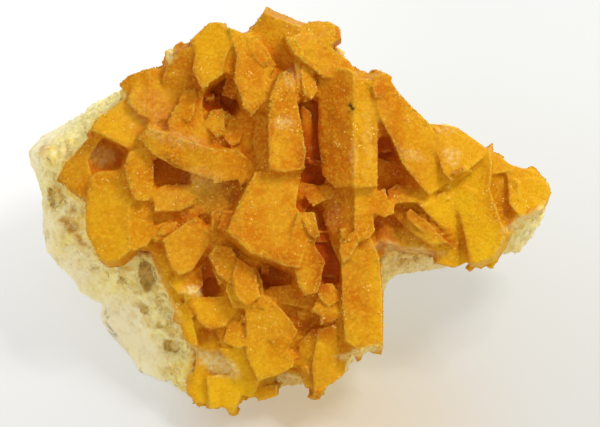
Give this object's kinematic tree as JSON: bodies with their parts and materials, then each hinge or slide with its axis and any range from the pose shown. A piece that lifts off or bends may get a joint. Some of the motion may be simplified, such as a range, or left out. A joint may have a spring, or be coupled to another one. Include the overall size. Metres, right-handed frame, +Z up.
{
  "type": "smithsonite and dolomite specimen",
  "caption": "Cabinet mineral specimen: a crust of intergrown flat orange-yellow smithsonite blades covering the sloping face of a broken cream dolomite block",
  "frame": {"origin": "middle of the footprint, on the surface that the specimen rests on", "axes": "+X to the viewer's right along the specimen's length, +Y to the back, +Z up. The crystal face leans back and looks towards -Y and up"},
  "size_m": [0.0722, 0.05, 0.0431],
  "materials": {
    "dolomite": "rough, vuggy, cream with pale yellow and grey-pink tints",
    "smithsonite": "sugary sparkling druse, orange-yellow, slightly translucent"
  },
  "bodies": {
    "root": {"dolomite_matrix": "dolomite", "smithsonite_crystals": "smithsonite"}
  },
  "joints": []
}
